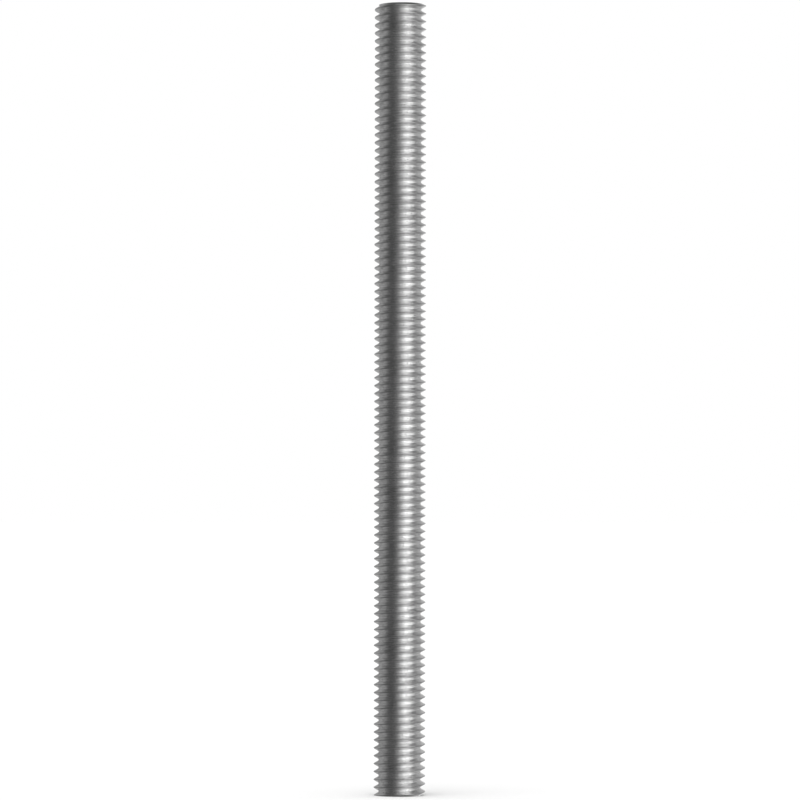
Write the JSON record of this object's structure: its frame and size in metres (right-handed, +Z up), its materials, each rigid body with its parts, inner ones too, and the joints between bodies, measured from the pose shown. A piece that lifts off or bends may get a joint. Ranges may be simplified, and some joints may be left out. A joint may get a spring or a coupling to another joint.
{
  "type": "threaded rod",
  "caption": "Straight steel rod with a right-hand metric thread rolled along its whole length and both ends cut off square.",
  "frame": {"origin": "middle of the lower cut end, on the rod's axis", "axes": "+Z up along the rod's axis; -X points to the place where a thread crest meets the lower end"},
  "size_m": [0.0098, 0.0098, 0.151],
  "materials": {
    "zinc_plated_steel": "bright zinc plating over rolled steel"
  },
  "bodies": {
    "root": {"threaded_rod": "zinc_plated_steel"}
  },
  "joints": []
}
